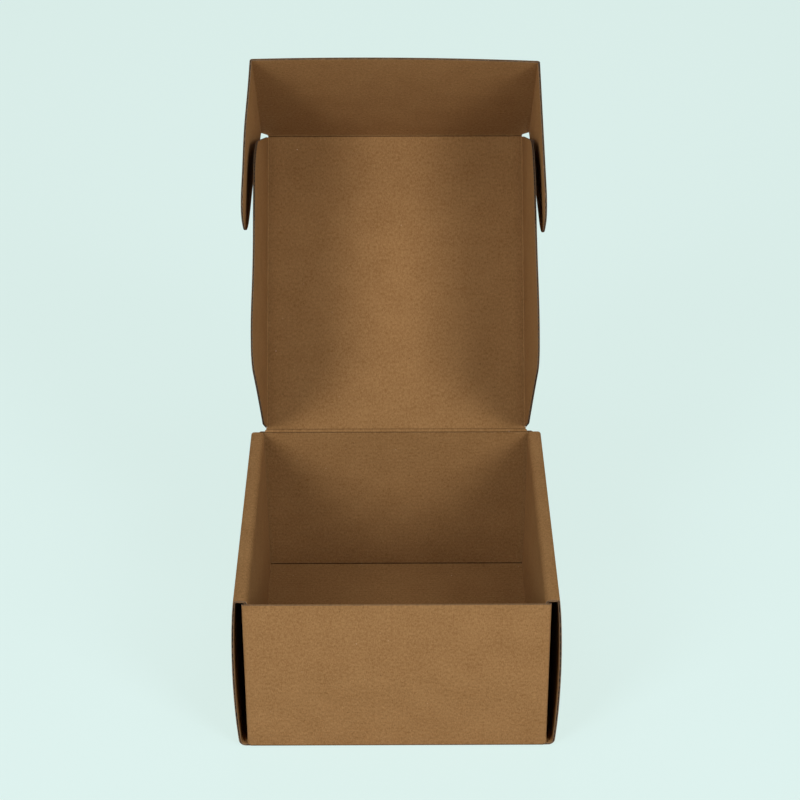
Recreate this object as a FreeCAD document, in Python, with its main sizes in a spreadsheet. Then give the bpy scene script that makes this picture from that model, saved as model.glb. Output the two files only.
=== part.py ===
import FreeCAD, Part
import math
import os

import Sketcher

# A corrugated mailer box, die-cut and folded from one sheet of kraft board, standing open.
# The tray is the folded lower box: base, front wall, back wall, four dust flaps that
# lie inside the double side walls, and the side panels rolled over them and locked into
# the base. The lid turns on the back wall's top crease. It carries a tuck flap on its
# front edge, with an ear at each end, and a wing along each side.
# Axes: X to the right, Y to the back, Z up. The origin is the middle of the base's underside.

SIZES = [
    ("board", 1.6, "thickness of the board"),
    ("outer_width", 240, "across the outer side panels at their creases"),
    ("outer_depth", 248, "front wall's face to back wall's face"),
    ("wall_height", 134.4, "top of the rolled-over side walls"),
    ("hinge_height", 134, "lid crease above the base's underside"),
    ("front_wall_height", 131.2, "top edge of the front wall"),
    ("end_wall_width", 228, "front and back wall, over their rounded ends"),
    ("bend_radius", 2.2, "outside radius of a square fold"),
    ("side_bow", 3.4, "how far an outer side panel bows out at mid height"),
    ("rolled_width", 10.6, "outer side panel's face to the inner panel's inside face"),
    ("inner_lean", 1.2, "how far an inner side panel leans in at its foot"),
    ("side_front_setback", 1.5, "side panels behind the front wall's face"),
    ("side_back_setback", 3.3, "side panels short of the back wall's face"),
    ("inner_front_gap", 0.6, "inner side panel behind the front wall"),
    ("foot_gap", 0.4, "inner panel's foot and dust flaps above the base"),
    ("dust_flap_length", 100, "dust flap, from its wall's face"),
    ("dust_flap_height", 125, "height of a dust flap"),
    ("tab_length", 44, "lock tab along the inner panel's foot"),
    ("tab_offset", 82, "middle of a lock tab from the box's middle"),
    ("tab_depth", 1.4, "lock tab below the base's top face"),
    ("slot_clearance", 0.4, "base slot around a lock tab, on each side"),
    ("crease_gap", 0.3, "running gap at each crease that turns"),
    ("lid_lean", 36, "degrees that the lid leans back past upright"),
    ("lid_length", 251, "lid crease to tuck flap crease"),
    ("lid_width", 214.8, "between the two wing creases"),
    ("lid_root_overhang", 1.6, "lid's own crease, past the wing crease on each side"),
    ("lid_flare", 3, "length over which the lid narrows from its root"),
    ("crease_inset", 1.4, "wing and tuck flap creases short of the lid's corners"),
    ("wing_depth", 128, "wing, from its crease to its free edge"),
    ("wing_rear_taper", 39, "wing's free edge short of its crease at the hinge end"),
    ("wing_rear_straight", 26, "wing's rear edge square to its crease, before it slants"),
    ("wing_front_taper", 34, "wing's front edge back from its crease, up to the round"),
    ("wing_rear_round", 18, "corner radius at the wing's rear"),
    ("wing_front_round", 46, "corner radius at the wing's front"),
    ("wing_splay", 1, "degrees that a wing opens past square"),
    ("ear_overhang", 5.5, "ear crease outside the wing crease beside it"),
    ("tuck_height", 131, "tuck flap, from its crease to its free edge"),
    ("tuck_open", 13.4, "degrees that the tuck flap opens past square"),
    ("tuck_root_inset", 5.4, "tuck flap's root corners back from the ear creases"),
    ("ear_length", 128.5, "ear, from its crease to its tip"),
    ("ear_tip_start", 74, "near end of the ear's tip above the tuck flap's crease"),
    ("ear_inset", 4, "ear's crease short of the tuck flap's crease"),
    ("ear_round", 20, "corner radius at the far end of the ear's tip"),
    ("ear_tip_round", 45, "corner radius at the near end of the ear's tip"),
    ("ear_splay", 2.2, "degrees that an ear opens past square"),
]


# Sizes and formulas

document = FreeCAD.newDocument("mailer_box")
sheet = document.addObject("Spreadsheet::Sheet", "Sizes")


class Size:
    """A number together with the sheet formula that gives it."""

    def __init__(self, value, formula):
        self.value = value
        self.formula = formula

    def __add__(self, other):
        other = as_size(other)
        return Size(self.value + other.value, f"({self.formula} + {other.formula})")

    def __sub__(self, other):
        other = as_size(other)
        return Size(self.value - other.value, f"({self.formula} - {other.formula})")

    def __mul__(self, other):
        other = as_size(other)
        return Size(self.value * other.value, f"({self.formula} * {other.formula})")

    def __truediv__(self, other):
        other = as_size(other)
        return Size(self.value / other.value, f"({self.formula} / {other.formula})")

    def __neg__(self):
        return Size(-self.value, f"(0 - {self.formula})")


def as_size(number):
    """A plain number as a Size; a Size stays as it is."""
    return number if isinstance(number, Size) else Size(number, repr(number))


def root(size):
    """The square root of a Size."""
    return Size(math.sqrt(size.value), f"sqrt({size.formula})")


def sine(angle):
    """The sine of an angle in degrees."""
    return Size(math.sin(math.radians(angle.value)), f"sin({angle.formula} * 1 deg)")


def cosine(angle):
    """The cosine of an angle in degrees."""
    return Size(math.cos(math.radians(angle.value)), f"cos({angle.formula} * 1 deg)")


size = {}
for row, (alias, number, note) in enumerate(SIZES, start=1):
    sheet.set(f"A{row}", alias)
    sheet.set(f"B{row}", str(number))
    sheet.setAlias(f"B{row}", alias)
    sheet.set(f"C{row}", note)
    size[alias] = Size(float(number), f"Sizes.{alias}")
document.recompute()


# Sketches and features

def plane_of(body, role):
    """One of the body's own origin planes."""
    return next(f for f in body.Origin.OriginFeatures if f.Role == role)


def rounded_corner(before, corner, after, radius):
    """Where a corner's arc starts and ends, and its centre."""
    to_before = (before - corner).normalize()
    to_after = (after - corner).normalize()
    half = to_before.getAngle(to_after) / 2
    start = corner + to_before * (radius / math.tan(half))
    end = corner + to_after * (radius / math.tan(half))
    middle = (to_before + to_after).normalize()
    return start, end, corner + middle * (radius / math.sin(half))


def arc_through(centre, radius, start, end):
    """The shorter arc about a centre from one point to another, always anticlockwise."""
    first = math.atan2(start.y - centre.y, start.x - centre.x)
    last = math.atan2(end.y - centre.y, end.x - centre.x)
    turn = (last - first) % (2 * math.pi)
    circle = Part.Circle(centre, FreeCAD.Vector(0, 0, 1), radius)
    if turn <= math.pi + 1e-9:
        return Part.ArcOfCircle(circle, first, first + turn), True
    return Part.ArcOfCircle(circle, last, last + 2 * math.pi - turn), False


def fix_point(sketch, shape, end, x, y):
    """Holds one point of a sketch at its sheet distances from the sketch's origin."""
    for kind, place in (("DistanceX", x), ("DistanceY", y)):
        label = f"{kind[-1].lower()}{sketch.ConstraintCount}"
        rule = Sketcher.Constraint(kind, -1, 1, shape, end, place.value)
        rule.Name = label
        sketch.addConstraint(rule)
        sketch.setExpression(f"Constraints.{label}", place.formula)


def fix_radius(sketch, shape, radius):
    """Ties an arc's or a circle's radius to the sheet."""
    label = f"r{sketch.ConstraintCount}"
    rule = Sketcher.Constraint("Radius", shape, radius.value)
    rule.Name = label
    sketch.addConstraint(rule)
    sketch.setExpression(f"Constraints.{label}", radius.formula)


def new_sketch(body, role, name, start=None, tilt=None, lift=None, out=None):
    """A sketch on an origin plane, moved start along its normal, or lifted and tilted."""
    sketch = body.newObject("Sketcher::SketchObject", name)
    sketch.AttachmentSupport = [(plane_of(body, role), "")]
    sketch.MapMode = "FlatFace"
    if tilt is not None:
        turn = FreeCAD.Rotation(FreeCAD.Vector(1, 0, 0), tilt.value)
        offset = FreeCAD.Vector(0, lift.value, out.value)
        sketch.AttachmentOffset = FreeCAD.Placement(offset, turn)
        sketch.setExpression("AttachmentOffset.Rotation.Angle", tilt.formula)
        sketch.setExpression("AttachmentOffset.Base.y", lift.formula)
        sketch.setExpression("AttachmentOffset.Base.z", out.formula)
    elif start is not None:
        offset = FreeCAD.Vector(0, 0, start.value)
        sketch.AttachmentOffset = FreeCAD.Placement(offset, FreeCAD.Rotation())
        sketch.setExpression("AttachmentOffset.Base.z", start.formula)
    return sketch


def draw_outline(sketch, corners):
    """Draws a closed outline. A corner is (x, y), (x, y, "round", r) or (x, y, "arc", r).

    "round" rounds that corner. "arc" makes the side from it to the next corner an arc
    of radius r that bulges to the right of its run, or to the left where r is negative.
    """
    corners = [(as_size(c[0]), as_size(c[1])) + tuple(c[2:]) for c in corners]
    places = [FreeCAD.Vector(c[0].value, c[1].value, 0) for c in corners]
    count = len(corners)
    ends = []
    for i, corner in enumerate(corners):
        if len(corner) > 2 and corner[2] == "round":
            before, after = places[i - 1], places[(i + 1) % count]
            ends.append(rounded_corner(before, places[i], after, corner[3].value))
        else:
            ends.append((places[i], places[i], None))
    sides = []
    for i, corner in enumerate(corners):
        start, end = ends[i][1], ends[(i + 1) % count][0]
        if len(corner) > 2 and corner[2] == "arc":
            radius = abs(corner[3].value)
            chord = end - start
            across = FreeCAD.Vector(-chord.y, chord.x, 0).normalize()
            reach = math.sqrt(max(radius ** 2 - (chord.Length / 2) ** 2, 0))
            side = 1 if corner[3].value > 0 else -1
            centre = (start + end) / 2 + across * (reach * side)
            curve, forward = arc_through(centre, radius, start, end)
            shape = sketch.addGeometry(curve, False)
            fix_radius(sketch, shape, corner[3] if side > 0 else -corner[3])
            sides.append((shape, 1 if forward else 2, 2 if forward else 1))
        else:
            shape = sketch.addGeometry(Part.LineSegment(start, end), False)
            sides.append((shape, 1, 2))
    for i, corner in enumerate(corners):
        last, first = sides[i - 1], sides[i]
        if ends[i][2] is None:
            sketch.addConstraint(
                Sketcher.Constraint("Coincident", last[0], last[2], first[0], first[1])
            )
            fix_point(sketch, first[0], first[1], corner[0], corner[1])
            continue
        curve, forward = arc_through(ends[i][2], corner[3].value, ends[i][0], ends[i][1])
        shape = sketch.addGeometry(curve, False)
        near, far = (1, 2) if forward else (2, 1)
        sketch.addConstraint(
            Sketcher.Constraint("Tangent", last[0], last[2], shape, near)
        )
        sketch.addConstraint(
            Sketcher.Constraint("Tangent", shape, far, first[0], first[1])
        )
        fix_radius(sketch, shape, corner[3])
        point = sketch.addGeometry(Part.Point(places[i]), True)
        sketch.addConstraint(Sketcher.Constraint("PointOnObject", point, 1, last[0]))
        sketch.addConstraint(Sketcher.Constraint("PointOnObject", point, 1, first[0]))
        fix_point(sketch, point, 1, corner[0], corner[1])


def draw_circle(sketch, x, y, radius):
    """Draws one circle."""
    centre = FreeCAD.Vector(as_size(x).value, as_size(y).value, 0)
    circle = Part.Circle(centre, FreeCAD.Vector(0, 0, 1), radius.value)
    shape = sketch.addGeometry(circle, False)
    fix_radius(sketch, shape, radius)
    fix_point(sketch, shape, 3, as_size(x), as_size(y))


def feature(body, kind, sketch, name, length, both_ways=False, backwards=False):
    """Pads or pockets a sketch by a sheet length."""
    made = body.newObject(kind, name)
    made.Profile = sketch
    made.Length = length.value
    made.setExpression("Length", length.formula)
    made.Midplane = both_ways
    made.Reversed = backwards
    sketch.Visibility = False
    document.recompute()
    return made


def pad(body, sketch, name, length, both_ways=False, backwards=False):
    """Adds board and checks that there is more of it."""
    before = body.Shape.Volume if body.Tip else 0
    made = feature(body, "PartDesign::Pad", sketch, name, length, both_ways, backwards)
    if body.Shape.Volume <= before:
        raise RuntimeError(f"{name} adds nothing")
    return made


def pocket(body, sketch, name, length, both_ways=False, backwards=False):
    """Cuts board away and checks that there is less of it."""
    before = body.Shape.Volume
    made = feature(body, "PartDesign::Pocket", sketch, name, length, both_ways, backwards)
    if body.Shape.Volume >= before:
        raise RuntimeError(f"{name} cuts nothing")
    return made


def new_body(label):
    """An empty body whose label is the piece's name."""
    body = document.addObject("PartDesign::Body", label)
    body.Label = label
    return body


def mirror_features(body, features, name):
    """Repeats features on the other side of the body's YZ plane."""
    mirrored = body.newObject("PartDesign::Mirrored", name)
    mirrored.Originals = features
    mirrored.MirrorPlane = (plane_of(body, "YZ_Plane"), [""])
    body.Tip = mirrored
    document.recompute()
    return mirrored


# Shared values

board = size["board"]
bend = size["bend_radius"]
half_width = size["outer_width"] / 2
half_depth = size["outer_depth"] / 2
half_end_wall = size["end_wall_width"] / 2
inner_bend = bend - board
wall_height = size["wall_height"]
crease_gap = size["crease_gap"]
fold_start = half_end_wall - bend
side_front = size["side_front_setback"] - half_depth
side_back = half_depth - size["side_back_setback"]
side_length = side_back - side_front


# Tray: base, front wall and back wall

def make_tray():
    """The folded lower box, one piece."""
    body = new_body("tray")
    make_end_walls(body)
    side_features = make_side_wall(body)
    flap_features = make_dust_flaps(body)
    tab_features = make_lock_tabs(body)
    mirror_features(body, side_features + flap_features + tab_features, "other_side")
    return body


def make_end_walls(body):
    """Front wall, base and back wall as one bent strip, as wide as the straight walls."""
    crease_round = board / 2
    sketch = new_sketch(body, "YZ_Plane", "end_wall_section")
    draw_outline(sketch, [
        (-half_depth, 0, "round", bend),
        (half_depth, 0, "round", bend),
        (half_depth, size["hinge_height"], "arc", crease_round),
        (half_depth - crease_round, size["hinge_height"] + crease_round, "arc", crease_round),
        (half_depth - board, size["hinge_height"]),
        (half_depth - board, board, "round", inner_bend),
        (board - half_depth, board, "round", inner_bend),
        (board - half_depth, size["front_wall_height"]),
        (-half_depth, size["front_wall_height"]),
    ])
    pad(body, sketch, "end_walls", fold_start * 2, both_ways=True)


def make_side_wall(body):
    """Right outer side panel, rolled-over top strip and inner panel, with the base's edge."""
    foot_straight = bend + board * 2
    bow_top = wall_height - foot_straight
    chord = bow_top - foot_straight
    bow = size["side_bow"]
    bow_radius = (chord * chord / 4 + bow * bow) / (bow * 2)
    inside_top = half_width - size["rolled_width"]
    inside_foot = inside_top - size["inner_lean"]
    foot = board + size["foot_gap"]
    under_strip = wall_height - board
    overlap = bend * 2

    outer = new_sketch(body, "XZ_Plane", "outer_panel_section", start=-side_back)
    draw_outline(outer, [
        (fold_start - overlap, 0),
        (half_width, 0, "round", bend),
        (half_width, foot_straight, "arc", bow_radius),
        (half_width, bow_top),
        (half_width, wall_height, "round", bend),
        (inside_top + overlap, wall_height),
        (inside_top + overlap, under_strip),
        (half_width - board, under_strip, "round", inner_bend),
        (half_width - board, bow_top, "arc", -bow_radius),
        (half_width - board, foot_straight),
        (half_width - board, board, "round", inner_bend),
        (fold_start - overlap, board),
    ])
    outer_panel = pad(body, outer, "outer_panel", side_length)

    inner_front = board + size["inner_front_gap"] - half_depth
    inner = new_sketch(body, "XZ_Plane", "inner_panel_section", start=-side_back)
    draw_outline(inner, [
        (inside_foot, foot),
        (inside_foot + board, foot),
        (inside_top + board, under_strip, "round", inner_bend),
        (inside_top + overlap, under_strip),
        (inside_top + overlap, wall_height),
        (inside_top, wall_height, "round", bend),
    ])
    inner_panel = pad(body, inner, "inner_panel", side_back - inner_front)
    return [outer_panel, inner_panel]


def make_dust_flaps(body):
    """Front and back dust flaps of the right side, folded from the ends of the walls."""
    made = []
    foot = board + size["foot_gap"]
    for name, way in (("front_dust_flap", -1), ("back_dust_flap", 1)):
        face = half_depth * way
        inside = (half_depth - board) * way
        tip = (half_depth - size["dust_flap_length"]) * way
        sketch = new_sketch(body, "XY_Plane", f"{name}_section", start=foot)
        draw_outline(sketch, [
            (fold_start - bend, face),
            (half_end_wall, face, "round", bend),
            (half_end_wall, tip),
            (half_end_wall - board, tip),
            (half_end_wall - board, inside, "round", inner_bend),
            (fold_start - bend, inside),
        ])
        made.append(pad(body, sketch, name, size["dust_flap_height"]))
    return made


def make_lock_tabs(body):
    """Two tabs on the foot of the right inner panel, and the base slots that they lock in."""
    made = []
    inside_foot = half_width - size["rolled_width"] - size["inner_lean"]
    foot = board + size["foot_gap"]
    clearance = size["slot_clearance"]
    for name, way in (("front", -1), ("back", 1)):
        middle = size["tab_offset"] * way
        reach = size["tab_length"] / 2
        slot = new_sketch(body, "XY_Plane", f"{name}_slot_outline", start=board)
        draw_outline(slot, [
            (inside_foot - clearance, middle - reach - clearance),
            (inside_foot + board + clearance, middle - reach - clearance),
            (inside_foot + board + clearance, middle + reach + clearance),
            (inside_foot - clearance, middle + reach + clearance),
        ])
        made.append(pocket(body, slot, f"{name}_slot", board))
        lowest = board - size["tab_depth"]
        tab = new_sketch(body, "XY_Plane", f"{name}_tab_outline", start=lowest)
        draw_outline(tab, [
            (inside_foot, middle - reach),
            (inside_foot + board, middle - reach),
            (inside_foot + board, middle + reach),
            (inside_foot, middle + reach),
        ])
        rise = foot - lowest + size["slot_clearance"]
        made.append(pad(body, tab, f"{name}_tab", rise))
    return made


# Lid panel

pivot_height = size["hinge_height"]
pivot_depth = half_depth - board / 2
lid_tilt = -size["lid_lean"] + 90
half_lid = size["lid_width"] / 2
lid_length = size["lid_length"]
inner_face = board / 2
crease_inset = size["crease_inset"]


def stand(body, tilt, y, z):
    """Places a body turned about X, at a depth and a height."""
    place = FreeCAD.Vector(0, y.value, z.value)
    turn = FreeCAD.Rotation(FreeCAD.Vector(1, 0, 0), tilt.value)
    body.Placement = FreeCAD.Placement(place, turn)
    body.setExpression("Placement.Rotation.Angle", tilt.formula)
    body.setExpression("Placement.Base.y", y.formula)
    body.setExpression("Placement.Base.z", z.formula)


def crease_start(reach, thickness):
    """How far from a pivot a panel's face starts, behind a round cut of that reach."""
    return root(reach * reach - thickness * thickness)


def make_lid_panel():
    """The lid's flat panel. Its Y runs from the hinge to the front, its Z to the inside."""
    body = new_body("lid_panel")
    cut_radius = inner_face + crease_gap
    start = crease_start(cut_radius, inner_face)
    half_root = half_lid + size["lid_root_overhang"]
    panel = new_sketch(body, "XY_Plane", "panel_outline", start=-inner_face)
    draw_outline(panel, [
        (-half_root, start),
        (half_root, start),
        (half_lid, size["lid_flare"]),
        (half_lid, lid_length),
        (-half_lid, lid_length),
        (-half_lid, size["lid_flare"]),
    ])
    pad(body, panel, "panel", board)

    hinge_cut = new_sketch(body, "YZ_Plane", "hinge_cut_section")
    draw_circle(hinge_cut, 0, 0, cut_radius)
    pocket(body, hinge_cut, "hinge_cut", size["outer_width"], both_ways=True)

    front_bead = new_sketch(body, "YZ_Plane", "tuck_crease_section")
    draw_outline(front_bead, [
        (lid_length, inner_face - board, "arc", board),
        (lid_length + board, inner_face, "arc", board),
        (lid_length, inner_face + board),
    ])
    bead_width = size["lid_width"] - crease_inset * 2
    pad(body, front_bead, "tuck_crease", bead_width, both_ways=True)

    side_start = size["lid_flare"]
    side_end = lid_length - crease_inset
    side_bead = new_sketch(body, "XZ_Plane", "wing_crease_section", start=-side_end)
    draw_outline(side_bead, [
        (half_lid, inner_face - board, "arc", board),
        (half_lid + board, inner_face, "arc", board),
        (half_lid, inner_face + board),
    ])
    bead = pad(body, side_bead, "wing_crease", side_end - side_start)
    mirror_features(body, [bead], "other_wing_crease")
    stand(body, lid_tilt, pivot_depth, pivot_height)
    return body


# Wings, on the lid's sides

def make_right_wing():
    """The right wing, drawn in the lid's frame and tilted about its crease."""
    body = new_body("right_wing")
    reach = board + crease_gap
    start = crease_start(reach, board)
    rear = size["lid_flare"] + crease_gap
    front = lid_length - crease_inset - crease_gap
    depth = size["wing_depth"]
    outline = new_sketch(
        body, "YZ_Plane", "wing_outline",
        tilt=size["wing_splay"], lift=inner_face, out=half_lid,
    )
    draw_outline(outline, [
        (rear, start),
        (front, start),
        (front - size["wing_front_taper"], depth, "round", size["wing_front_round"]),
        (size["wing_rear_taper"], depth, "round", size["wing_rear_round"]),
        (rear, size["wing_rear_straight"]),
    ])
    pad(body, outline, "wing", board)
    cut = new_sketch(body, "XZ_Plane", "crease_cut_section", start=-lid_length)
    draw_circle(cut, half_lid, inner_face, reach)
    pocket(body, cut, "crease_cut", lid_length, backwards=True)
    stand(body, lid_tilt, pivot_depth, pivot_height)
    return body


# Tuck flap, on the lid's front edge

tuck_tilt = lid_tilt + (-size["tuck_open"] + 90)
tuck_y = pivot_depth + lid_length * sine(size["lid_lean"]) \
    - inner_face * cosine(size["lid_lean"])
tuck_z = pivot_height + lid_length * cosine(size["lid_lean"]) \
    + inner_face * sine(size["lid_lean"])
half_tuck = half_lid + size["ear_overhang"]
tuck_height = size["tuck_height"]


def make_tuck_flap():
    """The tuck flap. Its Y runs to its free edge, its Z to the inside of the box."""
    body = new_body("tuck_flap")
    reach = board + crease_gap
    start = crease_start(reach, board)
    panel = new_sketch(body, "XY_Plane", "flap_outline", start=-board)
    draw_outline(panel, [
        (size["tuck_root_inset"] - half_tuck, start),
        (half_tuck - size["tuck_root_inset"], start),
        (half_tuck, size["ear_inset"]),
        (half_tuck, tuck_height),
        (-half_tuck, tuck_height),
        (-half_tuck, size["ear_inset"]),
    ])
    pad(body, panel, "flap", board)

    crease_cut = new_sketch(body, "YZ_Plane", "crease_cut_section")
    draw_circle(crease_cut, 0, 0, reach)
    pocket(body, crease_cut, "crease_cut", size["outer_width"], both_ways=True)

    bead_section = new_sketch(body, "XZ_Plane", "ear_crease_section", start=-tuck_height)
    draw_outline(bead_section, [
        (half_tuck, -board, "arc", board),
        (half_tuck + board, 0, "arc", board),
        (half_tuck, board),
    ])
    bead = pad(body, bead_section, "ear_crease", tuck_height - size["ear_inset"])
    mirror_features(body, [bead], "other_ear_crease")
    stand(body, tuck_tilt, tuck_y, tuck_z)
    return body


# Ears, on the tuck flap's ends

def make_right_ear():
    """The right ear, drawn in the tuck flap's frame and tilted about its crease."""
    body = new_body("right_ear")
    reach = board + crease_gap
    start = crease_start(reach, board)
    outline = new_sketch(
        body, "YZ_Plane", "ear_outline",
        tilt=size["ear_splay"], lift=as_size(0), out=half_tuck,
    )
    draw_outline(outline, [
        (size["ear_inset"], start),
        (tuck_height, start),
        (tuck_height, size["ear_length"], "round", size["ear_round"]),
        (size["ear_tip_start"], size["ear_length"], "round", size["ear_tip_round"]),
    ])
    pad(body, outline, "ear", board)
    cut = new_sketch(body, "XZ_Plane", "crease_cut_section", start=-tuck_height)
    draw_circle(cut, half_tuck, 0, reach)
    pocket(body, cut, "crease_cut", tuck_height, backwards=True)
    stand(body, tuck_tilt, tuck_y, tuck_z)
    return body


def make_left_copy(source, label):
    """The left-hand piece, a mirror image of the right-hand one."""
    copy = document.addObject("Part::Mirroring", label)
    copy.Label = label
    copy.Source = source
    copy.Base = FreeCAD.Vector(0, 0, 0)
    copy.Normal = FreeCAD.Vector(1, 0, 0)
    return copy


# Building, checks and files

right_wing = make_right_wing()
right_ear = make_right_ear()
pieces = [
    make_tray(),
    make_lid_panel(),
    right_wing,
    make_left_copy(right_wing, "left_wing"),
    make_tuck_flap(),
    right_ear,
    make_left_copy(right_ear, "left_ear"),
]
document.recompute()

for thing in document.Objects:
    if "Invalid" in thing.State or "Error" in thing.State:
        raise RuntimeError(f"{thing.Name} failed: {thing.State}")
for piece in pieces:
    shape = piece.Shape
    if shape.isNull() or not shape.isValid():
        raise RuntimeError(f"{piece.Label} is not a valid shape")
    if len(shape.Solids) != 1:
        raise RuntimeError(f"{piece.Label} is {len(shape.Solids)} solids, not one")

os.makedirs("parts", exist_ok=True)
for piece in pieces:
    piece.Shape.exportStep(f"parts/{piece.Label}.step")
    box = piece.Shape.BoundBox
    print(
        f"{piece.Label}: {piece.Shape.Volume / 1000:.2f} cm3,"
        f" x {box.XMin:.2f} to {box.XMax:.2f}, y {box.YMin:.2f} to {box.YMax:.2f},"
        f" z {box.ZMin:.2f} to {box.ZMax:.2f}"
    )
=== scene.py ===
import math

import bpy
import numpy as np
from mathutils import Matrix, Vector


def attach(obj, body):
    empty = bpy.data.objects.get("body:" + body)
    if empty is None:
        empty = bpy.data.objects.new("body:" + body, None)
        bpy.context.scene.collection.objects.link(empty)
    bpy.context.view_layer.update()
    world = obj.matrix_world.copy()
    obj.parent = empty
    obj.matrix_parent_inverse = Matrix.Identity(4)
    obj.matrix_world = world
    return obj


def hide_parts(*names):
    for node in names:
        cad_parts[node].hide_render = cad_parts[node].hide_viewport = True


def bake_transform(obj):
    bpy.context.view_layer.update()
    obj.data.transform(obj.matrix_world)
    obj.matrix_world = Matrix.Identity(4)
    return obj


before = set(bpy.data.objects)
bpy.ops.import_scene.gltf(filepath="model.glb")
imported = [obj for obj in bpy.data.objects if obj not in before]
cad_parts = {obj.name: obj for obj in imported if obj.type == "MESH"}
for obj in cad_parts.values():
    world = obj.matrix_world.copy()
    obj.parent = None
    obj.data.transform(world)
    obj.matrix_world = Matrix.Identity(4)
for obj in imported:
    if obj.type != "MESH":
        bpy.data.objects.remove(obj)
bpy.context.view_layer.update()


# Base, front wall, back wall and dust flaps
# One sheet of E-flute kraft board: two paper liners glued to a wavy medium, 1.6 mm thick.
# It is die-cut flat with its flutes running left to right, then folded up at the base's
# front and back creases, and each wall's ends are folded back as dust flaps.

board = 0.0016
paper = 0.00022
flute_pitch = 0.0031
bend_inside = 0.0006
bend_middle = bend_inside + board / 2
square = math.radians(90)
square_arc = bend_middle * square

half_width, half_depth = 0.120, 0.124
bend_outside = bend_inside + board
side_bend = 0.003
base_edge = half_width - side_bend - board
wall_crease = half_depth - bend_outside
wall_foot = wall_crease + square_arc
front_height, hinge_height = 0.1312, 0.134
wall_end = 0.114 - bend_outside
flap_length, flap_top = 0.100, 0.127


def linear(text):
    """A written sRGB colour as Blender's linear one."""
    parts = [int(text[i:i + 2], 16) / 255 for i in (1, 3, 5)]
    return [c / 12.92 if c <= 0.04045 else ((c + 0.055) / 1.055) ** 2.4 for c in parts] + [1.0]


def add_node(material, kind, links=None, values=None, **settings):
    """Adds a node, sets its values and links its inputs to other nodes' outputs."""
    tree = material.node_tree
    node = tree.nodes.new(kind)
    for name, value in settings.items():
        if hasattr(node, name):
            setattr(node, name, value)
        else:
            node.inputs[name.replace("_", " ")].default_value = value
    for socket, value in (values or {}).items():
        node.inputs[socket].default_value = value
    for socket, source in (links or {}).items():
        tree.links.new(source, node.inputs[socket])
    return node


# Kraft liner is brown unbleached paper off the machine: matt, with long fibres, a soft
# mottle, a few dark specks of bark and rare pale ones, and the flutes' ridges showing
# through as faint lines. Its pattern follows the flat blank, in metres.
kraft_liner = bpy.data.materials.new("kraft_liner_paper")
kraft_liner.use_nodes = True
kraft_liner.node_tree.nodes.clear()
blank = add_node(kraft_liner, "ShaderNodeUVMap", uv_map="blank")
fibre_stretch = add_node(
    kraft_liner, "ShaderNodeMapping", {"Vector": blank.outputs["UV"]}, Scale=(1.0, 0.35, 1.0)
)
mottle = add_node(
    kraft_liner, "ShaderNodeTexNoise", {"Vector": blank.outputs["UV"]},
    Scale=420.0, Detail=3.0, Roughness=0.7,
)
fibres = add_node(
    kraft_liner, "ShaderNodeTexNoise", {"Vector": fibre_stretch.outputs["Vector"]},
    Scale=1300.0, Detail=2.0, Roughness=0.7,
)
clouds = add_node(
    kraft_liner, "ShaderNodeTexNoise", {"Vector": blank.outputs["UV"]}, Scale=45.0, Detail=2.0,
)
fine_tone = add_node(
    kraft_liner, "ShaderNodeMath",
    {0: mottle.outputs["Fac"], 1: fibres.outputs["Fac"]}, operation="ADD",
)
cloud_share = add_node(
    kraft_liner, "ShaderNodeMath", {0: clouds.outputs["Fac"]}, {1: 0.3}, operation="MULTIPLY",
)
tone = add_node(
    kraft_liner, "ShaderNodeMath",
    {0: fine_tone.outputs["Value"], 1: cloud_share.outputs["Value"]}, operation="ADD",
)
tone_share = add_node(
    kraft_liner, "ShaderNodeMapRange", {"Value": tone.outputs["Value"]},
    From_Min=0.74, From_Max=1.56,
)
paper_colour = add_node(kraft_liner, "ShaderNodeValToRGB", {"Fac": tone_share.outputs["Result"]})
paper_colour.color_ramp.elements[0].color = linear("#794F25")
paper_colour.color_ramp.elements[1].color = linear("#A17341")

bark = add_node(
    kraft_liner, "ShaderNodeTexVoronoi", {"Vector": blank.outputs["UV"]}, Scale=170.0,
)
bark_kind = add_node(
    kraft_liner, "ShaderNodeSeparateColor", {"Color": bark.outputs["Color"]}
)
bark_reach = add_node(
    kraft_liner, "ShaderNodeMapRange", {"Value": bark_kind.outputs["Red"]},
    From_Min=0.6, From_Max=1.0, To_Min=0.0, To_Max=0.075,
)
bark_near = add_node(
    kraft_liner, "ShaderNodeMath",
    {0: bark.outputs["Distance"], 1: bark_reach.outputs["Result"]}, operation="LESS_THAN",
)
bark_shade = add_node(
    kraft_liner, "ShaderNodeMath",
    {0: bark_near.outputs["Value"], 1: bark_kind.outputs["Green"]}, operation="MULTIPLY",
)
bark_pale = add_node(
    kraft_liner, "ShaderNodeMath", {0: bark_kind.outputs["Blue"]}, {1: 0.85},
    operation="GREATER_THAN",
)
speck_colour = add_node(
    kraft_liner, "ShaderNodeMix", {0: bark_pale.outputs["Value"]},
    {6: linear("#3A2612"), 7: linear("#CFA77E")}, data_type="RGBA",
)
specked = add_node(
    kraft_liner, "ShaderNodeMix",
    {0: bark_shade.outputs["Value"], 6: paper_colour.outputs["Color"], 7: speck_colour.outputs[2]},
    data_type="RGBA",
)

# Painted shade: where a crease is pressed, the paper is mixed towards dark brown by the press
# depth, standing in for the shade in the crease's groove.
crease_press_depth = add_node(kraft_liner, "ShaderNodeAttribute", attribute_name="pressed")
crease_shade_share = add_node(
    kraft_liner, "ShaderNodeMath", {0: crease_press_depth.outputs["Fac"]}, {1: 0.65},
    operation="MULTIPLY",
)
crease_shaded_paper = add_node(
    kraft_liner, "ShaderNodeMix",
    {0: crease_shade_share.outputs["Value"], 6: specked.outputs[2]}, {7: linear("#35200E")},
    data_type="RGBA",
)

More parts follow.
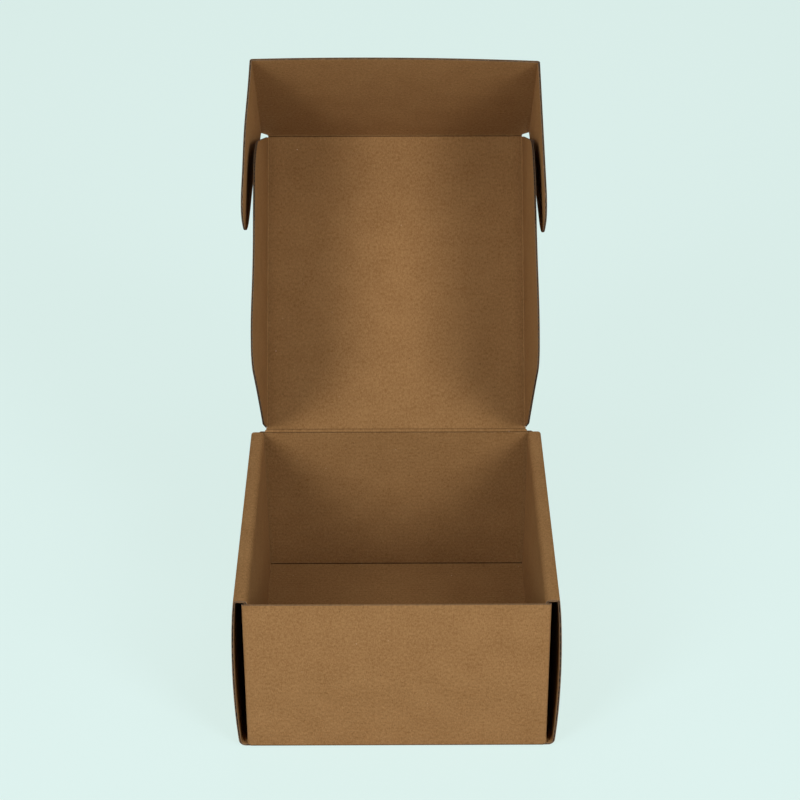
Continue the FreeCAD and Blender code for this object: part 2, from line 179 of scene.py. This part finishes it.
apart = add_node(kraft_liner, "ShaderNodeSeparateXYZ", {"Vector": blank.outputs["UV"]})
turns = add_node(
    kraft_liner, "ShaderNodeMath", {0: apart.outputs["Y"]}, {1: 2 * math.pi / flute_pitch},
    operation="MULTIPLY",
)
ridges = add_node(kraft_liner, "ShaderNodeMath", {0: turns.outputs["Value"]}, operation="COSINE")
ridge_height = add_node(
    kraft_liner, "ShaderNodeMath", {0: ridges.outputs["Value"]}, {1: 0.35}, operation="MULTIPLY",
)
relief = add_node(
    kraft_liner, "ShaderNodeMath",
    {0: ridge_height.outputs["Value"], 1: fine_tone.outputs["Value"]}, operation="ADD",
)
paper_bump = add_node(
    kraft_liner, "ShaderNodeBump", {"Height": relief.outputs["Value"]},
    Strength=0.4, Distance=0.00014,
)
liner_shader = add_node(
    kraft_liner, "ShaderNodeBsdfPrincipled",
    {"Base Color": crease_shaded_paper.outputs[2], "Normal": paper_bump.outputs["Normal"]},
    {"Specular IOR Level": 0.05}, Roughness=0.82, IOR=1.45,
)
add_node(
    kraft_liner, "ShaderNodeOutputMaterial", {"Surface": liner_shader.outputs["BSDF"]}
)

# A cut edge shows the paper's fibres end on, a little duller than its face.
cut_edge = bpy.data.materials.new("cut_board_edge")
cut_edge.use_nodes = True
cut_edge.node_tree.nodes.clear()
cut_shader = add_node(
    cut_edge, "ShaderNodeBsdfPrincipled", Base_Color=linear("#7C5C3A"), Roughness=0.95,
)
add_node(cut_edge, "ShaderNodeOutputMaterial", {"Surface": cut_shader.outputs["BSDF"]})

# The fluting medium is thinner recycled paper, seen only in open edges. A noise mottle runs from
# its own pale brown to near black; the near black is painted shade for the cells' hollows, laid at
# random.
fluting = bpy.data.materials.new("fluting_medium_paper")
fluting.use_nodes = True
fluting.node_tree.nodes.clear()
medium_blank = add_node(fluting, "ShaderNodeUVMap", uv_map="blank")
medium_shade_mottle = add_node(
    fluting, "ShaderNodeTexNoise", {"Vector": medium_blank.outputs["UV"]},
    Scale=380.0, Detail=1.0,
)
medium_colour_and_shade = add_node(fluting, "ShaderNodeValToRGB", {"Fac": medium_shade_mottle.outputs["Fac"]})
medium_colour_and_shade.color_ramp.elements[0].position = 0.48
medium_colour_and_shade.color_ramp.elements[1].position = 0.60
# Painted shade: this near-black end stands in for the dark hollows of the cells.
medium_colour_and_shade.color_ramp.elements[0].color = linear("#2C1D0C")
medium_colour_and_shade.color_ramp.elements[1].color = linear("#7A5A36")
medium_shader = add_node(
    fluting, "ShaderNodeBsdfPrincipled", {"Base Color": medium_colour_and_shade.outputs["Color"]},
    Roughness=0.9,
)
add_node(fluting, "ShaderNodeOutputMaterial", {"Surface": medium_shader.outputs["BSDF"]})


def pick(*pieces):
    """Leaves only these selected, the first one active."""
    bpy.ops.object.select_all(action="DESELECT")
    for piece in pieces:
        piece.select_set(True)
    bpy.context.view_layer.objects.active = pieces[0]


def flat_board(name, left, right, near, far, columns, rows):
    """A flat piece of board, outside face down: two liners and the medium, flutes along X."""
    layers = []
    for layer, height in (("outside", 0.0), ("inside", board), ("medium", board / 2)):
        lines = round((far - near) / flute_pitch * 8) if layer == "medium" else rows
        bpy.ops.object.select_all(action="DESELECT")
        bpy.ops.mesh.primitive_grid_add(
            x_subdivisions=columns, y_subdivisions=lines, size=1,
            location=((left + right) / 2, (near + far) / 2, height),
        )
        sheet = bpy.context.object
        sheet.scale = (right - left, far - near, 1)
        bpy.ops.object.transform_apply(location=True, rotation=True, scale=True)
        sheet.data.materials.append(fluting if layer == "medium" else kraft_liner)
        if layer == "outside":
            bpy.ops.object.mode_set(mode="EDIT")
            bpy.ops.mesh.select_all(action="SELECT")
            bpy.ops.mesh.flip_normals()
            bpy.ops.object.mode_set(mode="OBJECT")
        if layer == "medium":
            swing = board / 2 - paper * 1.5
            for vertex in sheet.data.vertices:
                turn = 2 * math.pi * vertex.co.y / flute_pitch
                vertex.co.z = board / 2 + paper / 2 + swing * math.cos(turn)
        layers.append(sheet)
    pick(*layers)
    bpy.ops.object.join()
    layers[0].name = layers[0].data.name = name
    return layers[0]


def score(piece, direction, places):
    """Adds an edge across the board at each place, where it will bend or be cut."""
    pick(piece)
    bpy.ops.object.mode_set(mode="EDIT")
    for place in places:
        bpy.ops.mesh.select_all(action="SELECT")
        bpy.ops.mesh.bisect(
            plane_co=Vector(direction) * place, plane_no=direction, threshold=0.000001
        )
    bpy.ops.object.mode_set(mode="OBJECT")


def cut_out(piece, waste):
    """Takes away the faces whose middles are waste, a test of x and y."""
    pick(piece)
    bpy.ops.object.mode_set(mode="EDIT")
    bpy.ops.mesh.select_mode(type="FACE")
    bpy.ops.mesh.select_all(action="DESELECT")
    bpy.ops.object.mode_set(mode="OBJECT")
    for face in piece.data.polygons:
        face.select = bool(waste(face.center.x, face.center.y))
    bpy.ops.object.mode_set(mode="EDIT")
    bpy.ops.mesh.delete(type="FACE")
    bpy.ops.object.mode_set(mode="OBJECT")


def mark_blank(piece, offset=(0.0, 0.0)):
    """Keeps the flat place of every point as the paper's UV map, and returns the points."""
    mesh = piece.data
    while mesh.uv_layers:
        mesh.uv_layers.remove(mesh.uv_layers[0])
    layer = mesh.uv_layers.new(name="blank")
    points = np.zeros(len(mesh.vertices) * 3)
    mesh.vertices.foreach_get("co", points)
    points = points.reshape(-1, 3)
    corners = np.zeros(len(mesh.loops), dtype=np.int32)
    mesh.loops.foreach_get("vertex_index", corners)
    layer.data.foreach_set("uv", (points[corners, :2] + np.array(offset)).ravel())
    return points


def crush(piece, points, flat, axis, side, start, length, depth):
    """Presses the board together along a crease, from its inside face, and marks the press depth
    there, which the liner turns into painted crease shade.
    """
    off = abs(flat[:, axis] * side - start - length / 2) / (length / 2)
    share = np.clip(1 - off, 0, 1)
    pressed = points.copy()
    pressed[:, 2] *= 1 - share * depth / board
    marks = piece.data.attributes.get("pressed")
    if marks is None:
        marks = piece.data.attributes.new("pressed", "FLOAT", "POINT")
    marked = np.zeros(len(points), dtype=np.float32)
    marks.data.foreach_get("value", marked)
    marks.data.foreach_set("value", np.maximum(marked, share * depth * 1000).astype(np.float32))
    return pressed


def fold(points, flat, axis, side, start, angle, inside, where=True):
    """Rolls the board past a crease round a bend. A positive angle turns towards the inside face.
    Points are as folded so far, flat are their places in the blank."""
    turn = abs(angle)
    middle = inside + board / 2
    past = flat[:, axis] * side - start
    bent = np.clip(past / middle, 0, turn) * np.where(where, past > 0, False)
    along = points[:, axis] * side - start - bent * middle
    centre = board + inside if angle > 0 else -inside
    high = (points[:, 2] - centre) * (1 if angle > 0 else -1)
    folded = points.copy()
    across = along * np.cos(bent) - high * np.sin(bent)
    up = along * np.sin(bent) + high * np.cos(bent)
    moved = bent > 0
    folded[moved, axis] = ((start + across) * side)[moved]
    folded[moved, 2] = (centre + up * (1 if angle > 0 else -1))[moved]
    return folded


def bend_lines(start, turn, inside):
    """Where the edges of a bend go: its ends and five places between."""
    length = (inside + board / 2) * turn
    return [start + length * i / 6 for i in range(7)]


def finish_board(piece, points):
    """Gives the folded layers the paper's thickness, and smooths the bends."""
    piece.data.vertices.foreach_set("co", points.ravel())
    piece.data.update()
    pick(piece)
    thick = piece.modifiers.new("paper", "SOLIDIFY")
    thick.thickness = paper
    thick.offset = -1
    thick.use_even_offset = True
    piece.data.materials.append(cut_edge)
    thick.material_offset_rim = len(piece.data.materials) - 1
    bpy.ops.object.modifier_apply(modifier=thick.name)
    bpy.ops.object.shade_smooth_by_angle(angle=math.radians(50))


flap_end = wall_end + square_arc + flap_length - bend_outside
front_edge = wall_foot + front_height - bend_outside
hinge_bend_start = 0.00036
hinge_room = 0.00028
back_edge = wall_foot + hinge_height - bend_outside - hinge_bend_start
back_end = back_edge - hinge_room
tray_board = flat_board(
    "tray_base_and_walls", -flap_end, flap_end, -front_edge, back_end, columns=24, rows=30
)
flap_high = wall_foot + flap_top - bend_outside
side_lines = bend_lines(wall_end, square, bend_inside)
score(tray_board, (1, 0, 0), [x * s for x in side_lines + [base_edge] for s in (-1, 1)])
end_lines = bend_lines(wall_crease, square, bend_inside) + [flap_high]
hinge_press, hinge_press_depth = 0.0014, 0.0009
base_press_depth = 0.0013
edge_slack = 0.00001
score(tray_board, (0, 1, 0), [y * s for y in end_lines for s in (-1, 1)])
score(tray_board, (0, 1, 0), [back_end - hinge_press, back_end - hinge_press / 2])
cut_out(tray_board, lambda x, y: abs(y) < wall_crease and abs(x) > base_edge)
cut_out(tray_board, lambda x, y: wall_crease < abs(y) < wall_foot and abs(x) > wall_end)
cut_out(tray_board, lambda x, y: abs(y) > flap_high and abs(x) > wall_end + square_arc)
flat = mark_blank(tray_board)
points = flat
walls = abs(flat[:, 1]) > wall_foot - edge_slack
for side in (-1, 1):
    points = crush(tray_board, points, flat, 1, side, wall_crease, square_arc, base_press_depth)
points = crush(
    tray_board, points, flat, 1, 1, back_end - hinge_press, hinge_press, hinge_press_depth
)
for side in (-1, 1):
    points = fold(points, flat, 0, side, wall_end, square, bend_inside, walls)
for side in (-1, 1):
    points = fold(points, flat, 1, side, wall_crease, square, bend_inside)
finish_board(tray_board, points)
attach(tray_board, "tray")
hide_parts("tray")


# Double side walls
# Each side of the blank is folded up as the outer panel, rolled over the dust flaps'
# tops as a narrow strip, and folded down again as the inner panel. Its two tabs lock in
# slots in the base. The outer panel bows out, as nothing holds its middle.

side_near, side_far = -0.1225, 0.1207
wall_height = 0.1344
rolled_width = 0.0106
side_bow = 0.0033
inner_lean = 0.0012
panel_foot = 0.002
tab_reach, tab_middle, tab_low = 0.022, 0.082, 0.0004

roll_bend = 0.0024
side_arc = (side_bend + board / 2) * square
roll_arc = (roll_bend + board / 2) * square
top_crease = base_edge + side_arc + wall_height - side_bend - board - bend_outside
strip_start = top_crease + square_arc
strip_end = strip_start + rolled_width - bend_outside - roll_bend - board
inner_start = strip_end + roll_arc
inner_foot = inner_start + wall_height - roll_bend - board - panel_foot
side_folds = ((strip_end, roll_bend), (top_crease, bend_inside), (base_edge, side_bend))
tab_foot = inner_foot + panel_foot - tab_low

for side, name in ((-1, "left_side_wall"), (1, "right_side_wall")):
    ends = sorted((side * wall_end, side * tab_foot))
    side_wall = flat_board(name, ends[0], ends[1], side_near, side_far, columns=22, rows=24)
    lines = [inner_foot, inner_start]
    for start, inside in side_folds:
        lines += bend_lines(start, square, inside)
    score(side_wall, (1, 0, 0), [x * side for x in lines])
    tab_ends = [tab_middle - tab_reach, tab_middle + tab_reach]
    score(side_wall, (0, 1, 0), [y * s for y in tab_ends for s in (-1, 1)] + [-wall_crease])
    cut_out(side_wall, lambda x, y: abs(x) > inner_foot and abs(abs(y) - tab_middle) > tab_reach)
    cut_out(side_wall, lambda x, y: abs(x) > inner_start and y < -wall_crease)
    cut_out(side_wall, lambda x, y: abs(x) < base_edge and y > -wall_crease)
    flat = mark_blank(side_wall)
    points = flat
    for start, inside in side_folds:
        points = fold(points, flat, 0, side, start, square, inside)
    height = points[:, 2] / wall_height
    outer = (abs(flat[:, 0]) > base_edge) & (abs(flat[:, 0]) < top_crease + square_arc)
    bow = np.where(outer, np.clip(4 * height * (1 - height), 0, 1) ** 0.8 * side_bow, 0)
    inner = abs(flat[:, 0]) > inner_start
    lean = np.where(inner, np.clip(1 - height, 0, 1) * inner_lean, 0)
    points[:, 0] += side * (bow - lean)
    finish_board(side_wall, points)
    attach(side_wall, "tray")
    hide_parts("tray")


# Lid
# The lid is the same board, creased across the top of the back wall, and it leans back
# 36 degrees. It is drawn in its own frame: X across, Y from the hinge to the front.

lid_lean = math.radians(36)
pivot = Vector((0, 0.1232, 0.134))
lid_half = 0.1074
lid_root_half = 0.109
lid_flare = 0.003
lid_length = 0.251
tight = 0.0003
tight_middle = tight + board / 2

lid_start = tight_middle * math.tan(lid_lean / 2) + hinge_room
wing_turn = math.radians(89)
wing_crease = lid_half - tight * math.tan(wing_turn / 2)
wing_arc = tight_middle * wing_turn
tuck_turn = math.radians(90 - 13.4)
tuck_crease = lid_length - tight * math.tan(tuck_turn / 2)
tuck_arc = tight_middle * tuck_turn
ear_turn = math.radians(90 - 2.2)
tuck_half = 0.1129
ear_crease = tuck_half - tight * math.tan(ear_turn / 2)
ear_arc = tight_middle * ear_turn

lid_axes = Matrix((
    (1, 0, 0, 0),
    (0, math.sin(lid_lean), -math.cos(lid_lean), pivot.y),
    (0, math.cos(lid_lean), math.sin(lid_lean), pivot.z),
    (0, 0, 0, 1),
))


def fold_lid_part(flat, points):
    """Folds any part of the lid's half of the blank and leans it back with the lid."""
    for side in (-1, 1):
        on_flap = flat[:, 1] > tuck_crease + tuck_arc - edge_slack
        on_lid = flat[:, 1] < tuck_crease
        points = fold(points, flat, 0, side, ear_crease, ear_turn, tight, on_flap)
        points = fold(points, flat, 0, side, wing_crease, wing_turn, tight, on_lid)
    points = fold(points, flat, 1, 1, tuck_crease, tuck_turn, tight)
    across = np.clip(points[:, 0] / tuck_half, -1, 1)
    open_more = np.radians(0.40 - 0.55 * across - 0.90 * across ** 2)
    open_more *= np.clip((flat[:, 1] - tuck_crease) / tuck_arc, 0, 1)
    ahead, above = points[:, 1] - tuck_crease, points[:, 2] - board
    points[:, 1] = tuck_crease + ahead * np.cos(open_more) + above * np.sin(open_more)
    points[:, 2] = board + above * np.cos(open_more) - ahead * np.sin(open_more)
    points = points - np.array((0, 0, board / 2))
    axes = np.array(lid_axes)
    return points @ axes[:3, :3].T + axes[:3, 3]


lid_board = flat_board(
    "lid_board", -lid_root_half, lid_root_half, lid_start, tuck_crease, columns=20, rows=24
)
press = 0.0014
tuck_press_depth, foot_press_depth, wing_press_depth = 0.0010, 0.0005, 0.0003
wing_lines = [wing_crease, wing_crease - press / 2, wing_crease - press]
score(lid_board, (1, 0, 0), [x * s for x in wing_lines for s in (-1, 1)])
score(lid_board, (0, 1, 0), [
    lid_flare, lid_start + press / 2, lid_start + press,
    tuck_crease - press, tuck_crease - press / 2,
])
cut_out(lid_board, lambda x, y: abs(x) > wing_crease and y > lid_flare)
flat = mark_blank(lid_board, (0, back_edge))
root = flat[:, 1] < lid_flare
narrow = 1 - (flat[:, 1] / lid_flare) * (1 - wing_crease / lid_root_half)
points = crush(lid_board, flat, flat, 1, 1, tuck_crease - press, press, tuck_press_depth)
points = crush(lid_board, points, flat, 1, 1, lid_start, press, foot_press_depth)
for side in (-1, 1):
    points = crush(
        lid_board, points, flat, 0, side, wing_crease - press, press, wing_press_depth
    )
edge = root & (abs(flat[:, 0]) > wing_crease)
points[edge, 0] *= narrow[edge]
points = points - np.array((0, 0, board / 2))
axes = np.array(lid_axes)
points = points @ axes[:3, :3].T + axes[:3, 3]
finish_board(lid_board, points)
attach(lid_board, "lid")
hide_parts("lid_panel")


# Wings
# The long flaps along the lid's sides, with the flutes running out to their free edges,
# so that the open cells show there. Each is cut back at the hinge end and rounded in front.

wing_depth = 0.128
wing_rear, wing_front = 0.0033, 0.2493
wing_rear_taper, wing_front_taper = 0.039, 0.034
wing_rear_round, wing_front_round = 0.018, 0.046
wing_rear_straight = 0.026
bow_middle, bow_reach = 0.068, 0.038


def trim(piece, point, outward):
    """Cuts the board straight across and drops what lies outward."""
    pick(piece)
    bpy.ops.object.mode_set(mode="EDIT")
    bpy.ops.mesh.select_all(action="SELECT")
    bpy.ops.mesh.bisect(
        plane_co=(point[0], point[1], 0), plane_no=(outward[0], outward[1], 0),
        clear_outer=True, threshold=0.000001,
    )
    bpy.ops.object.mode_set(mode="OBJECT")


def trim_corners(piece, corners, middle):
    """Cuts the board to a convex outline. A corner is x, y and the radius that rounds it."""
    middle = Vector(middle)
    for i, corner in enumerate(corners):
        here = Vector(corner[:2])
        after = Vector(corners[(i + 1) % len(corners)][:2])
        before = Vector(corners[i - 1][:2])
        edge = (after - here).normalized()
        outward = Vector((edge.y, -edge.x))
        if outward.dot(middle - here) > 0:
            outward = -outward
        trim(piece, here, outward)
        if corner[2]:
            to_before, to_after = (before - here).normalized(), (after - here).normalized()
            half = to_before.angle(to_after) / 2
            centre = here + (to_before + to_after).normalized() * (corner[2] / math.sin(half))
            arm = (here - centre).normalized()
            for step in range(-4, 5):
                swing = Matrix.Rotation((math.pi / 2 - half) * step / 5, 2)
                direction = swing @ arm
                trim(piece, centre + direction * corner[2], direction)


wing_base = wing_crease + wing_arc - tight * math.tan(wing_turn / 2)
for side, name in ((-1, "left_wing"), (1, "right_wing")):
    ends = sorted((side * (wing_crease + wing_arc), side * (wing_base + wing_depth)))
    wing = flat_board(
        name + "_board", ends[0], ends[1], wing_rear, wing_front, columns=16, rows=24
    )
    corners = [
        (side * wing_base, wing_rear, 0),
        (side * wing_base, wing_front, 0),
        (side * (wing_base + wing_depth), wing_front - wing_front_taper, wing_front_round),
        (side * (wing_base + wing_depth), wing_rear_taper, wing_rear_round),
        (side * (wing_base + wing_rear_straight), wing_rear, 0),
    ]
    trim_corners(wing, corners, (side * (wing_base + 0.03), 0.12))
    flat = mark_blank(wing, (0, back_edge))
    points = fold_lid_part(flat, flat)
    out_share = np.clip((abs(flat[:, 0]) - wing_base) / wing_depth, 0, 1) ** 1.3
    rear_bow = 0.0015 if side < 0 else 0.0008
    front_lean = 0 if side < 0 else 0.0014
    bow = rear_bow * np.exp(-((flat[:, 1] - bow_middle) / bow_reach) ** 2)
    bow -= front_lean * np.clip((flat[:, 1] - 0.10) / 0.10, 0, 1)
    points[:, 0] += side * bow * out_share
    finish_board(wing, points)
    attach(wing, name)
    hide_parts(name)


# Tuck flap
# The flap on the lid's front edge, which closes over the outside of the front wall.

tuck_height = 0.13005
tuck_root_inset = 0.0054
ear_inset = 0.004

tuck_base = tuck_crease + tuck_arc - tight * math.tan(tuck_turn / 2)
tuck_board = flat_board(
    "tuck_flap_board", -ear_crease, ear_crease, tuck_crease + tuck_arc, tuck_base + tuck_height,
    columns=20, rows=14,
)
score(tuck_board, (0, 1, 0), [tuck_base + ear_inset])
flat = mark_blank(tuck_board, (0, back_edge))
points = flat.copy()
root = np.clip(1 - (flat[:, 1] - tuck_base) / ear_inset, 0, 1)
points[:, 0] *= 1 - root * tuck_root_inset / ear_crease
finish_board(tuck_board, fold_lid_part(flat, points))
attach(tuck_board, "tuck_flap")
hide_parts("tuck_flap")


# Ears
# The flaps on the tuck flap's ends, which go into the front corner slots. The flutes run
# out to their tips.

ear_length = 0.1285
ear_tip_start = 0.074
ear_round, ear_tip_round = 0.020, 0.045
left_bulge, bulge_middle, bulge_reach = 0.0009, 0.061, 0.030
right_lean = 0.0155

ear_base = ear_crease + ear_arc - tight * math.tan(ear_turn / 2)
for side, name in ((-1, "left_ear"), (1, "right_ear")):
    ends = sorted((side * (ear_crease + ear_arc), side * (ear_base + ear_length)))
    ear = flat_board(
        name + "_board", ends[0], ends[1], tuck_base + ear_inset, tuck_base + tuck_height,
        columns=12, rows=14,
    )
    corners = [
        (side * ear_base, tuck_base + ear_inset, 0),
        (side * ear_base, tuck_base + tuck_height, 0),
        (side * (ear_base + ear_length), tuck_base + tuck_height, ear_round),
        (side * (ear_base + ear_length), tuck_base + ear_tip_start, ear_tip_round),
    ]
    trim_corners(ear, corners, (side * (ear_base + 0.04), tuck_base + 0.08))
    flat = mark_blank(ear, (0, back_edge))
    points = fold_lid_part(flat, flat)
    along = abs(flat[:, 0]) - ear_base
    if side < 0:
        points[:, 0] -= left_bulge * np.exp(-((along - bulge_middle) / bulge_reach) ** 2)
    else:
        points[:, 0] -= right_lean * along
    finish_board(ear, points)
    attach(ear, name)
    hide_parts(name)


# Creases
# The board is crushed along a crease so that it bends there. Each strip is the bend
# between two of the parts above, drawn where they stand.

tuck_root_half = tuck_half - tuck_root_inset
crease_list = [
    ("tuck_flap_crease", "lid", "tuck_flap",
     (-tuck_root_half, tuck_root_half, tuck_crease, tuck_crease + tuck_arc)),
]
for side, word in ((-1, "left"), (1, "right")):
    near_x, far_x = sorted((side * wing_crease, side * (wing_crease + wing_arc)))
    crease_list.append((
        word + "_wing_crease", "lid", word + "_wing", (near_x, far_x, wing_rear, wing_front),
    ))
    near_x, far_x = sorted((side * ear_crease, side * (ear_crease + ear_arc)))
    crease_list.append((
        word + "_ear_crease", "tuck_flap", word + "_ear",
        (near_x, far_x, tuck_base + ear_inset, tuck_base + tuck_height),
    ))

for name, before, after, (left, right, near, far) in crease_list:
    long_y = far - near > right - left
    columns, rows = (6, 24) if long_y else (20, 6)
    strip = flat_board(name, left, right, near, far, columns, rows)
    flat = mark_blank(strip, (0, back_edge))
    points = fold_lid_part(flat, flat)
    ends = np.array([
        [(left + right) / 2, near, board / 2], [(left + right) / 2, far, board / 2],
        [left, (near + far) / 2, board / 2], [right, (near + far) / 2, board / 2],
    ])
    placed = fold_lid_part(ends, ends)
    finish_board(strip, points)
    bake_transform(strip)

hinge = flat_board(
    "lid_hinge_crease", -lid_root_half, lid_root_half, back_end,
    back_edge + tight_middle * lid_lean + hinge_room, columns=20, rows=10,
)
flat = mark_blank(hinge)
points = fold(flat, flat, 1, 1, back_edge, -lid_lean, tight)
points = fold(points, flat, 1, 1, wall_crease, square, bend_inside)
finish_board(hinge, points)
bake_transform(hinge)


# Studio
# A plain pale floor that runs to the horizon, a large softbox on each side of the camera
# with weaker ones beyond them and behind the box, and a dim even surround.

backdrop_colour = "#DAEDE7"
floor_paint = bpy.data.materials.new("matt_pale_floor")
floor_paint.use_nodes = True
floor_paint.node_tree.nodes.clear()
ray = add_node(floor_paint, "ShaderNodeLightPath")
seen_or_mirrored = add_node(
    floor_paint, "ShaderNodeMath",
    {0: ray.outputs["Is Camera Ray"], 1: ray.outputs["Is Glossy Ray"]}, operation="ADD",
)
seen = add_node(
    floor_paint, "ShaderNodeMath",
    {0: seen_or_mirrored.outputs["Value"], 1: ray.outputs["Is Transmission Ray"]},
    operation="ADD", use_clamp=True,
)
painted = add_node(floor_paint, "ShaderNodeBsdfDiffuse", Color=linear("#D6E0CE"))
even = add_node(
    floor_paint, "ShaderNodeEmission", Color=linear(backdrop_colour), Strength=1.07,
)
shown_floor = add_node(
    floor_paint, "ShaderNodeMixShader", {1: painted.outputs["BSDF"], 2: even.outputs["Emission"]},
    Fac=0.85,
)
white_floor = add_node(floor_paint, "ShaderNodeBsdfDiffuse", Color=linear("#EDEDED"))
floor_mix = add_node(
    floor_paint, "ShaderNodeMixShader",
    {0: seen.outputs["Value"], 1: white_floor.outputs["BSDF"], 2: shown_floor.outputs["Shader"]},
)
add_node(floor_paint, "ShaderNodeOutputMaterial", {"Surface": floor_mix.outputs["Shader"]})
bpy.ops.object.select_all(action="DESELECT")
bpy.ops.mesh.primitive_plane_add(size=16, location=(0, 3, -0.0004))
floor = bpy.context.object
floor.name = "floor"
floor.data.materials.append(floor_paint)

world = bpy.data.worlds.new("surround")
bpy.context.scene.world = world
world.use_nodes = True
world.node_tree.nodes.clear()
world_ray = add_node(world, "ShaderNodeLightPath")
world_seen_or_mirrored = add_node(
    world, "ShaderNodeMath",
    {0: world_ray.outputs["Is Camera Ray"], 1: world_ray.outputs["Is Glossy Ray"]},
    operation="ADD",
)
world_seen = add_node(
    world, "ShaderNodeMath",
    {0: world_seen_or_mirrored.outputs["Value"], 1: world_ray.outputs["Is Transmission Ray"]},
    operation="ADD", use_clamp=True,
)
room_light = add_node(world, "ShaderNodeBackground", Color=linear("#FFFFFF"), Strength=0.02)
backdrop = add_node(world, "ShaderNodeBackground", Color=linear(backdrop_colour), Strength=1.0)
world_mix = add_node(
    world, "ShaderNodeMixShader",
    {0: world_seen.outputs["Value"], 1: room_light.outputs["Background"],
     2: backdrop.outputs["Background"]},
)
add_node(world, "ShaderNodeOutputWorld", {"Surface": world_mix.outputs["Shader"]})

# Each softbox: degrees to the right of the camera, degrees up, width, height and power.
softbox_distance, softbox_aim = 2.6, Vector((0, 0, 0.2))
softboxes = [
    ("left_softbox", -39, 30, 0.8, 1.4, 40), ("right_softbox", 39, 30, 0.8, 1.4, 40),
    ("left_high_fill", -60, 66, 0.9, 0.9, 7), ("right_high_fill", 60, 66, 0.9, 0.9, 7),
    ("left_low_fill", -72, 14, 0.7, 0.7, 3.5), ("right_low_fill", 72, 14, 0.7, 0.7, 3.5),
    ("back_fill", 180, 38, 1.2, 1.2, 16),
]
for name, azimuth, elevation, wide, high, power in softboxes:
    azimuth, elevation = math.radians(azimuth), math.radians(elevation)
    towards = Vector((
        math.sin(azimuth) * math.cos(elevation), -math.cos(azimuth) * math.cos(elevation),
        math.sin(elevation),
    ))
    bpy.ops.object.light_add(type="AREA", location=softbox_aim + towards * softbox_distance)
    softbox = bpy.context.object
    softbox.name = name
    softbox.data.shape = "RECTANGLE"
    softbox.data.size = wide
    softbox.data.size_y = high
    softbox.data.energy = power
    softbox.data.color = (0.92, 1.09, 1.46)
    softbox.rotation_euler = (-towards).to_track_quat("-Z", "Y").to_euler()

bpy.context.scene.view_settings.view_transform = "Standard"

# The camera is fitted to the box's corners in the photo: a long lens, 30 degrees above level.
focal_pixels, photo_pixels = 2160.6, 800
bpy.ops.object.camera_add(location=(0.0004, -1.4260, 1.0496))
camera = bpy.context.object
camera.data.sensor_width = 36
camera.data.lens = camera.data.sensor_width * focal_pixels / photo_pixels
camera.data.clip_end = 20
pitch, yaw, roll = math.radians(29.77), math.radians(0.110), math.radians(-0.128)
look = Vector((math.sin(yaw) * math.cos(pitch), math.cos(yaw) * math.cos(pitch), -math.sin(pitch)))
level = Vector((math.cos(yaw), -math.sin(yaw), 0))
rise = level.cross(look)
right_way = level * math.cos(roll) + rise * math.sin(roll)
up_way = rise * math.cos(roll) - level * math.sin(roll)
camera.rotation_euler = Matrix((right_way, up_way, -look)).transposed().to_euler()
bpy.context.scene.camera = camera
